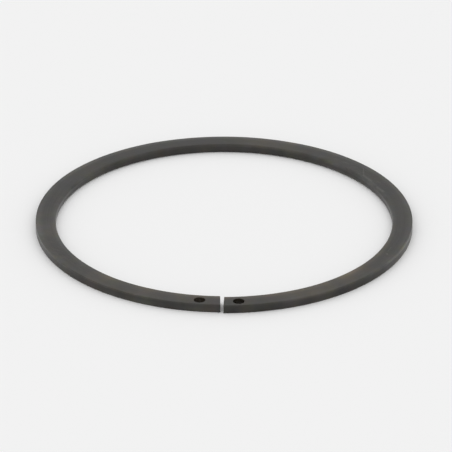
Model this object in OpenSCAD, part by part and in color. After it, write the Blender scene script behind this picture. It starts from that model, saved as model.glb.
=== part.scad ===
// External retaining ring coiled from flat spring-steel wire, lying flat.
// The ring's axis is Z, its underside is on z = 0 and the gap faces -Y.

/* [Wire] */
// Radial width of the flat wire
wire_w = 9; // [6:0.5:12]
// Thickness of the flat wire
wire_t = 4; // [2.5:0.1:6]
// Radius on the two inner long edges, which coiling on edge leaves rounder
inner_edge_r = 1; // [0.1:0.05:1.2]
// Radius on the two outer long edges
outer_edge_r = 0.55; // [0.1:0.05:1.2]

/* [Ring] */
// Outer diameter of the ring when nothing loads it
ring_od = 168; // [120:1:240]
// How far the right-hand end springs outside the circle of the rest
end_set = 0.75; // [0:0.05:2]
// Width of the gap at the ring's inner edge
gap_inside = 1.8; // [0.6:0.05:6]
// Width of the gap at the ring's outer edge
gap_outside = 1.35; // [0.6:0.05:6]

/* [Plier holes] */
// Diameter of the two plier holes
hole_d = 5; // [2:0.1:6]
// Chamfer on both rims of each hole
hole_chamfer = 0.15; // [0.05:0.05:0.4]
// How far both holes stand outside the wire's middle line
hole_shift = 0.6; // [0:0.1:1]
// Distance from the left-hand end face to its hole's centre, along the wire
left_hole_inset = 9; // [6:0.05:20]
// Distance from the right-hand end face to its hole's centre, along the wire
right_hole_inset = 6.45; // [6:0.05:20]

/* [Hidden] */

steel_colour = [0.33, 0.32, 0.3];
curve_fn = 180;
corner_fn = 48;
// Cutters run this far past the faces that they cut
overrun = 1;

// Radius of the wire's middle line, on the ring and on the sprung right arm
mid_r = (ring_od - wire_w) / 2;
arm_mid_r = mid_r + end_set;

// The right arm is a quarter turn of the larger radius. Its centre lies end_set
// to the left, so it leaves the ring's circle with no kink at +X.
arm_centre_x = -end_set;

// Half the gap where the end faces cross the middle line, and how much it
// closes on each side for every millimetre outwards
half_gap = (gap_inside + gap_outside) / 4;
gap_lean = (gap_inside - gap_outside) / 2 / wire_w;

// Degrees from straight down (-Y) to each hole, about its own arc's centre
left_hole_turn = -asin(half_gap / mid_r) - left_hole_inset / mid_r * 180 / PI;
right_hole_turn = asin((half_gap - arm_centre_x) / arm_mid_r)
    + right_hole_inset / arm_mid_r * 180 / PI;

// Flat wire section with round edges, its middle line at the given radius:
// two bars, one up to the flat of each edge, and a round bar in each corner
module wire_section(r) {
    inner_x = r - wire_w / 2;
    outer_x = r + wire_w / 2;
    union() {
        translate([inner_x + inner_edge_r, 0])
            square([wire_w - inner_edge_r - outer_edge_r, wire_t]);
        translate([inner_x, inner_edge_r])
            square([inner_edge_r + overrun, wire_t - 2 * inner_edge_r]);
        translate([outer_x - outer_edge_r - overrun, outer_edge_r])
            square([outer_edge_r + overrun, wire_t - 2 * outer_edge_r]);
        for (z = [inner_edge_r, wire_t - inner_edge_r])
            translate([inner_x + inner_edge_r, z])
                circle(r = inner_edge_r, $fn = corner_fn);
        for (z = [outer_edge_r, wire_t - outer_edge_r])
            translate([outer_x - outer_edge_r, z])
                circle(r = outer_edge_r, $fn = corner_fn);
    }
}

// A length of coiled wire that starts at +X and turns through the given angle
module coiled_wire(r, turn) {
    rotate_extrude(angle = turn, $fn = curve_fn)
        wire_section(r);
}

// Drill with a chamfer at each face, at an angle from -Y on an arc
module plier_hole(centre_x, r, turn) {
    rim_r = hole_d / 2 + hole_chamfer;
    cone_top_r = rim_r + overrun;
    translate([centre_x, 0, 0])
        rotate([0, 0, turn])
            translate([0, -r, 0]) {
                translate([0, 0, -overrun])
                    cylinder(d = hole_d, h = wire_t + 2 * overrun, $fn = corner_fn);
                translate([0, 0, wire_t - hole_chamfer])
                    cylinder(r1 = hole_d / 2, r2 = cone_top_r, h = hole_chamfer + overrun,
                             $fn = corner_fn);
                translate([0, 0, -overrun])
                    cylinder(r1 = cone_top_r, r2 = hole_d / 2, h = hole_chamfer + overrun,
                             $fn = corner_fn);
            }
}

// The parting cut: a wedge between two end faces that close a little outwards
module end_gap() {
    reach = wire_w / 2 + end_set + overrun;
    inside = half_gap + reach * gap_lean;
    outside = half_gap - reach * gap_lean;
    translate([0, 0, -overrun])
        linear_extrude(height = wire_t + 2 * overrun)
            polygon([
                [-inside, -mid_r + reach],
                [-outside, -mid_r - reach],
                [outside, -mid_r - reach],
                [inside, -mid_r + reach]
            ]);
}

module retaining_ring() {
    color(steel_colour)
        difference() {
            union() {
                coiled_wire(mid_r, 270);
                translate([arm_centre_x, 0, 0])
                    coiled_wire(arm_mid_r, -90);
            }
            end_gap();
            plier_hole(0, mid_r + hole_shift, left_hole_turn);
            plier_hole(arm_centre_x, arm_mid_r + hole_shift, right_hole_turn);
        }
}

retaining_ring();
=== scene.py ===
import math

import bpy
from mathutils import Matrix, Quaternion, Vector, noise


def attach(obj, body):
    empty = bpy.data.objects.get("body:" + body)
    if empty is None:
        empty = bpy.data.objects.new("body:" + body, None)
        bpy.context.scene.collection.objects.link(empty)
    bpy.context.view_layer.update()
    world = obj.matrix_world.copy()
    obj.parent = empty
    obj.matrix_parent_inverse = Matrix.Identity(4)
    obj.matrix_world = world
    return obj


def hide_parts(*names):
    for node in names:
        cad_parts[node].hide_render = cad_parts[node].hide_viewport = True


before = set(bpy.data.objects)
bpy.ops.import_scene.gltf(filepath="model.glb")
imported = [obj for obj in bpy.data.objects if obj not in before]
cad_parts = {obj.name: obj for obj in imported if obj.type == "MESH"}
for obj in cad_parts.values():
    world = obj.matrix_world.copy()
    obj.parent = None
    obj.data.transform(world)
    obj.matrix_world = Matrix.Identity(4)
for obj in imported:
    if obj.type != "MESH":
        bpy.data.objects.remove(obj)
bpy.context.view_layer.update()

# The coiled wire
# One length of flat spring steel, rolled with round edges and coiled on edge, which leaves its inner
# edges rounder and its outer ones crisper. Its section is drawn at +X, at the height it lies at.
mm = 0.001
touch = 0.001 * mm
wire_w = 9 * mm
wire_t = 4 * mm
inner_edge_r = 1.0 * mm
outer_edge_r = 0.55 * mm
inner_edge_shape = 0.5
outer_edge_shape = 0.68
ring_od = 168 * mm
mid_r = (ring_od - wire_w) / 2
edge_steps = 7
face_cuts = 9
wall_cuts = 3


def pick(piece, kind, wanted):
    """Selects the edges or faces of a piece in edit mode whose corners all pass a test."""
    bpy.ops.mesh.select_mode(type=kind)
    bpy.ops.mesh.select_all(action="DESELECT")
    bpy.ops.object.mode_set(mode="OBJECT")
    points = piece.data.vertices
    for part in piece.data.edges if kind == "EDGE" else piece.data.polygons:
        part.select = all(wanted(points[i].co) for i in part.vertices)
    bpy.ops.object.mode_set(mode="EDIT")


bpy.ops.object.select_all(action="DESELECT")
bpy.ops.mesh.primitive_plane_add(size=1, location=(mid_r, 0, wire_t / 2), rotation=(math.pi / 2, 0, 0))
ring = bpy.context.object
ring.name = "coiled_ring"
ring.scale = (wire_w, wire_t, 1)
bpy.ops.object.transform_apply(location=True, rotation=True, scale=True)
bpy.ops.object.mode_set(mode="EDIT")
pick(ring, "EDGE", lambda co: co.x < mid_r)
bpy.ops.mesh.bevel(
    offset=inner_edge_r, segments=edge_steps, profile=inner_edge_shape, affect="VERTICES"
)
pick(ring, "EDGE", lambda co: co.x > mid_r + wire_w / 2 - touch)
bpy.ops.mesh.bevel(
    offset=outer_edge_r, segments=edge_steps, profile=outer_edge_shape, affect="VERTICES"
)
bpy.ops.mesh.select_all(action="SELECT")
bpy.ops.mesh.delete(type="ONLY_FACE")
pick(ring, "EDGE", lambda co: abs(abs(co.z - wire_t / 2) - wire_t / 2) < touch)
bpy.ops.mesh.subdivide(number_cuts=face_cuts)
pick(ring, "EDGE", lambda co: abs(abs(co.x - mid_r) - wire_w / 2) < touch)
bpy.ops.mesh.subdivide(number_cuts=wall_cuts)

# The two arms and their ends
# Both arms are spun from that one section: three quarters of a turn to the left-hand end, and a quarter
# turn about a centre set to the left, because hardening made the right-hand end spring outward. The
# ends were parted with a cut that closes a little towards the outside, and their burr was taken off.
end_set = 0.75 * mm
arm_mid_r = mid_r + end_set
main_steps = 360
arm_steps = 120
gap_inside = 1.8 * mm
gap_outside = 1.35 * mm
gap_mid = (gap_inside + gap_outside) / 2
end_lean = math.atan((gap_inside - gap_outside) / 2 / wire_w)
end_break = 0.12 * mm
end_break_steps = 2
end_break_shape = 0.6
left_turn = 1.5 * math.pi - math.asin(gap_mid / 2 / mid_r)
right_turn = 0.5 * math.pi - math.asin((gap_mid / 2 + end_set) / arm_mid_r)


def part_the_end(side):
    """Brings the selected end loop onto the plane of the parting cut, closes it and breaks its edge."""
    cut = (side * gap_mid / 2, -mid_r, 0)
    bpy.ops.transform.resize(value=(0, 1, 1), center_override=cut)
    bpy.ops.transform.rotate(value=side * end_lean, orient_axis="Z", center_override=cut)
    bpy.ops.mesh.edge_face_add()
    bpy.ops.mesh.bevel(
        offset=end_break, segments=end_break_steps, profile=end_break_shape, affect="EDGES"
    )


bpy.ops.mesh.select_all(action="SELECT")
bpy.ops.mesh.spin(steps=main_steps, angle=left_turn, center=(0, 0, 0), axis=(0, 0, -1))
part_the_end(-1)
pick(ring, "EDGE", lambda co: abs(co.y) < touch and co.x > 0)
bpy.ops.mesh.spin(steps=arm_steps, angle=right_turn, center=(-end_set, 0, 0), axis=(0, 0, 1))
part_the_end(1)
bpy.ops.mesh.select_all(action="SELECT")
bpy.ops.mesh.normals_make_consistent(inside=False)
bpy.ops.object.mode_set(mode="OBJECT")

# Rolling and coiling leave the faces crowned, by an amount that wanders along the wire, and leave
# the two walls very slightly wavy. All waves are counted to the metre.
face_crown = 0.09 * mm
crown_wander = 0.7
crown_waves = 45
ripple_share = 0.5
ripple_waves = 160
wall_wave = 0.03 * mm
wall_waves = 70


def on_wire(co):
    """How far round from the gap a place is, in radians by way of the left arm, and how far it is
    outside the wire's middle line."""
    on_right_arm = co.x > 0 and co.y < 0
    spoke = Vector((co.x + end_set * on_right_arm, co.y))
    turn = (math.atan2(-spoke.x, -spoke.y) + math.pi * 2) % (math.pi * 2)
    return turn, spoke.length - (arm_mid_r if on_right_arm else mid_r)


for point in ring.data.vertices:
    turn, across = on_wire(point.co)
    far = turn * mid_r
    across /= wire_w / 2
    up = (point.co.z - wire_t / 2) / (wire_t / 2)
    wander = noise.noise((far * crown_waves, across, up))
    wander += ripple_share * noise.noise((far * ripple_waves, across, up))
    point.co.z -= face_crown * across ** 2 * up * (1 + crown_wander * wander)
    out = Vector((point.co.x, point.co.y, 0)).normalized()
    point.co += out * wall_wave * abs(across) ** 3 * noise.noise((far * wall_waves, 2 * across, up))

# The plier holes
# Drilled right through, one near each end, and lightly chamfered on both rims. The two are not at
# the same distance from their ends, and both stand a little outside the wire's middle line.
hole_r = 2.5 * mm
hole_chamfer = 0.15 * mm
hole_shift = 0.6 * mm
left_hole_inset = 9 * mm
right_hole_inset = 6.45 * mm
hole_sides = 64
overrun = 1 * mm
smooth_below = math.radians(32)
left_hole_turn = math.asin(-gap_mid / 2 / mid_r) - left_hole_inset / mid_r
right_hole_turn = math.asin((gap_mid / 2 + end_set) / arm_mid_r) + right_hole_inset / arm_mid_r
flare = (hole_r + hole_chamfer + overrun) / hole_r
hole_centres = []

for name, centre_x, arc_r, turn in (
    ("left_drill", 0, mid_r + hole_shift, left_hole_turn),
    ("right_drill", -end_set, arm_mid_r + hole_shift, right_hole_turn),
):
    x = centre_x + arc_r * math.sin(turn)
    y = -arc_r * math.cos(turn)
    hole_centres.append(Vector((x, y)))
    bpy.ops.object.select_all(action="DESELECT")
    bpy.ops.mesh.primitive_cylinder_add(
        vertices=hole_sides, radius=hole_r, depth=wire_t - 2 * hole_chamfer, location=(x, y, wire_t / 2)
    )
    drill = bpy.context.object
    drill.name = name
    bpy.ops.object.transform_apply(location=True, rotation=True, scale=True)
    bpy.ops.object.mode_set(mode="EDIT")
    for rim, out in ((wire_t - hole_chamfer, 1), (hole_chamfer, -1)):
        pick(drill, "FACE", lambda co: abs(co.z - rim) < touch)
        bpy.ops.mesh.extrude_region_move(
            TRANSFORM_OT_translate={"value": (0, 0, out * (hole_chamfer + overrun))}
        )
        bpy.ops.transform.resize(value=(flare, flare, 1), center_override=(x, y, 0))
    bpy.ops.object.mode_set(mode="OBJECT")
    cut = ring.modifiers.new(name, "BOOLEAN")
    cut.operation = "DIFFERENCE"
    cut.solver = "EXACT"
    cut.object = drill
    bpy.context.view_layer.objects.active = ring
    bpy.ops.object.modifier_apply(modifier=name)
    bpy.data.objects.remove(drill)

bpy.ops.object.select_all(action="DESELECT")
ring.select_set(True)
bpy.ops.object.shade_smooth_by_angle(angle=smooth_below)

# How the finish has aged, and the light painted on it
# Heat browned the blackened steel, most of all inside the two arms. Handling has rubbed its edges and
# scuffed its faces. A painted sheen lies along the face edges that turn away from the camera, painted
# highlights on the rounded edges and painted light from the sheet low on one wall. The colour is
# darker inside the holes.
# The bands along the face edges are partly rubbing and partly a painted sheen, which on the outer edge grows
# towards the back.
outer_rub_and_sheen = 0.31
sheen_more_behind = 0.18
inner_rub_and_sheen = 0.34
scuffed_anywhere = 0.3
hole_amount = 0.4

# Each patch has its middle and its reach, in degrees round from the gap by way of the left arm, and
# its strength.
brown_stains = ((30, 18, 0.42), (323, 11, 0.6), (195, 6, 0.35))
brown_inside = ((0, 300, 0.85), (48, 9, 0.5), (326, 9, 0.5), (345, 8, -0.1))
rubbed_face = ((83, 6, 0.23),)
rubbed_back = ((240, 12, 0.9),)
# Less wear and painted sheen on the outer band at the front.
less_sheen_in_front = ((0, 25, 0.08),)
rubbed_wall = ((235, 12, 0.08),)
# Painted light from the pale sheet on the foot of the wall, at the front a little to the left.
sheet_light_low_on_wall = ((22, 12, 0.17),)
# Painted highlights on the rounded edges, where they catch the light, laid over their wear.
inner_edge_highlights = ((244, 12, 0.45), (222, 10, 0.22), (138, 12, 0.2), (115, 6, 0.3))
outer_edge_highlights = (
    (72, 8, 0.6), (58, 10, 0.25), (35, 12, 0.3), (285, 9, 0.9), (302, 10, 0.4), (325, 12, 0.3)
)
scuffed_patches = ((228, 16, 0.7), (70, 10, 0.5))

# The bands of wear and painted sheen run along both edges of the faces. The inner one is wider at the front.
side_band = 2.2 * mm
front_band = 4.2 * mm
outer_band = 3.3 * mm
outer_core = 0.8 * mm
face_edge = 1.2 * mm
wall_edge = 0.5 * mm
low_wall_from = 3 * mm
low_wall_full = 1.5 * mm

# Where each of these begins and where it is full, as the cosine of the turn from its middle.
brown_middle = math.radians(15)
brown_span = (0.3, 0.8)
# The inner band of wear and painted sheen lies mostly at the front.
inner_sheen_span = (-0.8, 0.1)
wide_span = (0, 0.7)


def fade(value, none_at, full_at):
    """Rises smoothly from 0 to 1 as the value goes from none_at to full_at."""
    part = min(1, max(0, (value - none_at) / (full_at - none_at)))
    return part * part * (3 - 2 * part)


def patched(turn, patches):
    """The sum of soft patches round the wire, each given by its middle, its reach and its strength."""
    return sum(
        strength * math.exp((math.cos(turn - math.radians(middle)) - 1) / math.radians(reach) ** 2)
        for middle, reach, strength in patches
    )


# The mesh keeps all this at each of its points, with the point's own place on the wire.
marks = ring.data.attributes
marks.new("wire_place", "FLOAT_VECTOR", "POINT")
# The second part of this holds wear together with painted sheen, painted highlights and painted light from
# the sheet.
marks.new("ageing_and_painted_light", "FLOAT_VECTOR", "POINT")
marks.new("in_the_holes", "FLOAT", "POINT")
for point, place_slot, ageing_and_painted_light_slot, in_the_holes_slot in zip(
    ring.data.vertices, marks["wire_place"].data, marks["ageing_and_painted_light"].data, marks["in_the_holes"].data
):
    turn, across = on_wire(point.co)
    place_slot.vector = (turn * mid_r, across, point.co.z)
    frontness = math.cos(turn)
    off_face = wire_t / 2 - abs(point.co.z - wire_t / 2)
    off_wall = wire_w / 2 - abs(across)
    on_face = fade(off_face, face_edge, 0)

    inner_band = side_band + (front_band - side_band) * fade(frontness, *wide_span)
    # Along the inner edge, mostly at the front, the band is partly wear and partly painted sheen.
    inside = max(fade(frontness, *inner_sheen_span), patched(turn, rubbed_back))
    inside *= fade(wire_w / 2 + across, inner_band, inner_band / 4)
    # Along the outer edge the band is partly wear and partly painted sheen.
    outside = fade(wire_w / 2 - across, outer_band, outer_core)

    brown_share = fade(math.cos(turn + brown_middle), *brown_span)
    brown = patched(turn, brown_stains) * fade(across, wire_w, -wire_w / 4)
    brown += brown_share * inside * (patched(turn, brown_inside) - brown)

    # The outer band's painted sheen is strongest at the back.
    rub_and_painted_light = outside * (outer_rub_and_sheen - sheen_more_behind * frontness - patched(turn, less_sheen_in_front))
    rub_and_painted_light += inner_rub_and_sheen * (1 - brown_share) * inside + patched(turn, rubbed_face)
    edge_r = outer_edge_r if across > 0 else inner_edge_r
    # Painted highlights on the rounded edges.
    edge_highlight = patched(turn, outer_edge_highlights if across > 0 else inner_edge_highlights)
    edge_highlight *= fade(off_wall, 1.2 * edge_r, 0.4 * edge_r) * fade(off_face, 1.6 * edge_r, 0.6 * edge_r)
    # Painted light from the sheet, low on the wall.
    low_down = fade(point.co.z, low_wall_from, low_wall_full)
    wall = patched(turn, rubbed_wall) + low_down * patched(turn, sheet_light_low_on_wall)
    rub_and_painted_light = max(rub_and_painted_light * on_face, edge_highlight) + wall * fade(off_wall, wall_edge, 0)

    scuffed = scuffed_anywhere + patched(turn, scuffed_patches)
    ageing_and_painted_light_slot.vector = (brown * on_face, rub_and_painted_light, scuffed * on_face)
    in_hole = any((point.co.xy - centre).length < hole_r + touch for centre in hole_centres)
    # Marks the hole walls, where the colour is darker and the surface glossier.
    in_the_holes_slot.value = hole_amount * in_hole

# The black finish
# Hardening scale and black oxide over the whole wire: a very dark, matt skin that holds a film of
# oil. It reflects little seen square on and much more seen along the surface.
skin = bpy.data.materials.new("black_oxide")
skin.use_nodes = True
tree = skin.node_tree
shader = tree.nodes["Principled BSDF"]
shader.inputs["IOR"].default_value = 1.45


def give(socket, value):
    """Sets a socket to a value, or joins it to the output that supplies one."""
    if isinstance(value, bpy.types.NodeSocket):
        tree.links.new(value, socket)
    elif value is not None:
        socket.default_value = value


def add(kind, *values, **settings):
    """Adds a node to the tree in hand and gives its inputs these values in turn."""
    made = tree.nodes.new(kind)
    for key, setting in settings.items():
        setattr(made, key, setting)
    for socket, value in zip(made.inputs, values):
        give(socket, value)
    return made


def blend(below, over, amount):
    """Lays one colour over another by an amount from 0 to 1 and gives the colour that results."""
    made = add("ShaderNodeMix", amount, data_type="RGBA")
    give(made.inputs[6], below)
    give(made.inputs[7], over)
    return made.outputs[2]


def cloud(at, per_metre, detail, low, high):
    """Soft noise with so many waves a metre, spread from low to high."""
    made = add("ShaderNodeTexNoise", at, None, per_metre, detail)
    return add("ShaderNodeMapRange", made.outputs[0], 0.3, 0.7, low, high).outputs[0]


spot = add("ShaderNodeTexCoord").outputs["Object"]
wire_place = add("ShaderNodeAttribute", attribute_name="wire_place").outputs["Vector"]
ageing_and_painted_light = add("ShaderNodeAttribute", attribute_name="ageing_and_painted_light").outputs["Vector"]
ageing_and_painted_light = add("ShaderNodeSeparateXYZ", ageing_and_painted_light).outputs
in_the_holes = add("ShaderNodeAttribute", attribute_name="in_the_holes").outputs["Fac"]

# The scale is nearly black, brown where it was thinnest, and paler where it is rubbed and where
# sheen, highlights and light from the sheet are painted on.
scale_black = (0.0210, 0.0188, 0.0157, 1)
scale_brown = (0.072, 0.058, 0.037, 1)
scale_rub_and_painted_light = (0.088, 0.086, 0.074, 1)
tone = blend(scale_black, scale_brown, ageing_and_painted_light["X"])
# Paler where rubbed, and where sheen, highlights and light from the sheet are painted.
tone = blend(tone, scale_rub_and_painted_light, ageing_and_painted_light["Y"])

# It is mottled, with faint temper tints that change from patch to patch.
tint_waves = 170
tint_spread = (0.6, 0.35, 1.1)
tint_base = (0.7, 0.825, 0.45)
mottle_waves = 70
mottle_dark = 0.42
mottle_pale = 1.58
tints = add("ShaderNodeTexNoise", spot, None, tint_waves, 3).outputs["Color"]
tints = add("ShaderNodeVectorMath", tints, tint_spread, tint_base, operation="MULTIPLY_ADD").outputs[0]
tone = add("ShaderNodeVectorMath", tone, tints, operation="MULTIPLY").outputs[0]
mottle = cloud(spot, mottle_waves, 5, mottle_dark, mottle_pale)
tone = add("ShaderNodeVectorMath", tone, None, None, mottle, operation="SCALE").outputs[0]

# The colour is darker inside the holes, and the surface there glossier.
scale_in_holes = (0.010, 0.007, 0.004, 1)
tone = blend(tone, scale_in_holes, in_the_holes)

# Handling has scuffed the faces with fine pale scratches, most of them at the back on the right.
scale_worn = (0.095, 0.092, 0.082, 1)
scuff_slant = math.radians(28)
scuff_waves = (170, 7000, 7000)
scuff_from = 0.62
scuff_full = 0.75
scuff_strength = 0.8
slanted = add("ShaderNodeVectorRotate", spot, None, None, scuff_slant).outputs[0]
slanted = add("ShaderNodeVectorMath", slanted, scuff_waves, operation="MULTIPLY").outputs[0]
scuffs = add("ShaderNodeTexNoise", slanted, None, 1, 1).outputs[0]
scuffs = add("ShaderNodeMapRange", scuffs, scuff_from, scuff_full, 0, scuff_strength).outputs[0]
scuffs = add("ShaderNodeMath", scuffs, ageing_and_painted_light["Z"], operation="MULTIPLY").outputs[0]
tone = blend(tone, scale_worn, scuffs)

# Five marks stand out: a short scratch with two wider smears below it at the back on the right, and a
# nick and a faint scratch on the right arm. Each has its two ends, half its width and its strength.
for start, end, half_width, strength in (
    ((62.3, 52.1), (62.5, 44.4), 0.35, 0.35),
    ((62.6, 44.4), (65.7, 39.2), 0.9, 0.4),
    ((68.4, 32.6), (71.0, 28.3), 1.2, 0.4),
    ((72.3, -33.6), (72.5, -34.2), 0.5, 0.8),
    ((74.2, -27.2), (72.8, -31.2), 0.35, 0.3),
):
    start = Vector((*start, wire_t / mm)) * mm
    run = Vector((*end, wire_t / mm)) * mm - start
    from_start = add("ShaderNodeVectorMath", spot, tuple(start), operation="SUBTRACT").outputs[0]
    along = add("ShaderNodeVectorMath", from_start, tuple(run / run.length_squared), operation="DOT_PRODUCT")
    along = add("ShaderNodeMath", along.outputs["Value"], 1, operation="MULTIPLY", use_clamp=True).outputs[0]
    nearest = add("ShaderNodeVectorMath", tuple(run), None, None, along, operation="SCALE").outputs[0]
    away = add("ShaderNodeVectorMath", from_start, nearest, operation="DISTANCE").outputs["Value"]
    mark = add("ShaderNodeMapRange", away, half_width * mm, 0, 0, strength).outputs[0]
    tone = blend(tone, scale_worn, mark)
give(shader.inputs["Base Color"], tone)

# The rolled faces are matt. The walls and round edges, rubbed in handling, are smoother. Oil lies
# unevenly on both, and rolling left faint lines along the wire.
edge_roughness = 0.33
face_roughness = 0.54
oil_roughness = 0.2
oil_change = 0.05
line_change = 0.025
film_waves = 70
line_waves = (40, 1800, 1800)
face_from = wire_t / 2 - 0.5 * mm
face_full = wire_t / 2 - 0.08 * mm
height = add("ShaderNodeSeparateXYZ", wire_place).outputs["Z"]
off_middle = add("ShaderNodeMath", height, wire_t / 2, operation="SUBTRACT").outputs[0]
off_middle = add("ShaderNodeMath", off_middle, operation="ABSOLUTE").outputs[0]
finish = add("ShaderNodeMapRange", off_middle, face_from, face_full, edge_roughness, face_roughness)
film = cloud(spot, film_waves, 3, -oil_change, oil_change)
finish = add("ShaderNodeMath", finish.outputs[0], film, operation="ADD").outputs[0]
along_wire = add("ShaderNodeVectorMath", wire_place, line_waves, operation="MULTIPLY").outputs[0]
lines = cloud(along_wire, 1, 2, -1, 1)
finish = add("ShaderNodeMath", lines, line_change, finish, operation="MULTIPLY_ADD").outputs[0]
dry = add("ShaderNodeMath", 1, in_the_holes, operation="SUBTRACT").outputs[0]
finish = add("ShaderNodeMath", finish, dry, operation="MULTIPLY").outputs[0]
finish = add("ShaderNodeMath", in_the_holes, oil_roughness, finish, operation="MULTIPLY_ADD").outputs[0]
give(shader.inputs["Roughness"], finish)

# The same lines and a fine grain are felt as a very low relief.
grain_waves = 2200
grain_share = 0.6
relief_strength = 0.35
relief_depth = 0.006 * mm
grain = cloud(spot, grain_waves, 2, -1, 1)
relief = add("ShaderNodeMath", grain, grain_share, lines, operation="MULTIPLY_ADD").outputs[0]
skin_bump = add("ShaderNodeBump")
give(skin_bump.inputs["Strength"], relief_strength)
give(skin_bump.inputs["Distance"], relief_depth)
give(skin_bump.inputs["Height"], relief)
give(shader.inputs["Normal"], skin_bump.outputs[0])

ring.data.materials.clear()
ring.data.materials.append(skin)
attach(ring, "root")
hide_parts("retaining_ring")

# The sheet it lies on
# A plain pale sheet of matt paper, wide enough to fill every view.
sheet_size = 12.0
sheet_tone = 0.887
bpy.ops.mesh.primitive_plane_add(size=sheet_size, location=(0, 0, 0))
sheet = bpy.context.object
sheet.name = "pale_sheet"
paper = bpy.data.materials.new("pale_paper")
paper.use_nodes = True
paper_shader = paper.node_tree.nodes["Principled BSDF"]
paper_shader.inputs["Base Color"].default_value = (sheet_tone, sheet_tone, sheet_tone, 1)
paper_shader.inputs["Roughness"].default_value = 1.0
paper_shader.inputs["Specular IOR Level"].default_value = 0.0
sheet.data.materials.append(paper)

# The light
# A white light tent over the sheet, even but for its two sides, which are a little dimmer.
side_dimming = 0.35
tent_light = 1 + side_dimming / 4
world = bpy.data.worlds.new("light_tent")
bpy.context.scene.world = world
world.use_nodes = True
tree = world.node_tree
tent = tree.nodes["Background"]
tent.inputs["Color"].default_value = (1, 1, 1, 1)
direction = add("ShaderNodeSeparateXYZ", add("ShaderNodeTexCoord").outputs["Generated"]).outputs
sideways = add("ShaderNodeMath", direction["X"], direction["X"], operation="MULTIPLY").outputs[0]
strength = add("ShaderNodeMath", sideways, -side_dimming, tent_light, operation="MULTIPLY_ADD").outputs[0]
give(tent.inputs["Strength"], strength)

# The camera
# A long lens well back, looking down on the gap. The picture is 452 by 452.
picture_px = 452
lens_px = 7464
sensor_mm = 36
camera_far = 3330 * mm
camera_rise = math.radians(26.61)
camera_round = math.radians(0.59)
camera_roll = math.radians(0.13)
ring_right_px = -1.89
ring_up_px = -0.52
back = Vector((
    math.sin(camera_round) * math.cos(camera_rise),
    -math.cos(camera_round) * math.cos(camera_rise),
    math.sin(camera_rise),
))
lens = bpy.data.cameras.new("long_lens")
lens.sensor_width = sensor_mm
lens.lens = sensor_mm * lens_px / picture_px
lens.clip_start = 0.1
lens.clip_end = 50
camera = bpy.data.objects.new("camera", lens)
bpy.context.collection.objects.link(camera)
look = (-back).to_track_quat("-Z", "Y")
aim_turn = Quaternion((0, 1, 0), ring_right_px / lens_px) @ Quaternion((1, 0, 0), -ring_up_px / lens_px)
camera.rotation_mode = "QUATERNION"
camera.location = back * camera_far
camera.rotation_quaternion = look @ Quaternion((0, 0, 1), camera_roll) @ aim_turn
bpy.context.scene.camera = camera

bpy.context.scene.view_settings.view_transform = "Standard"
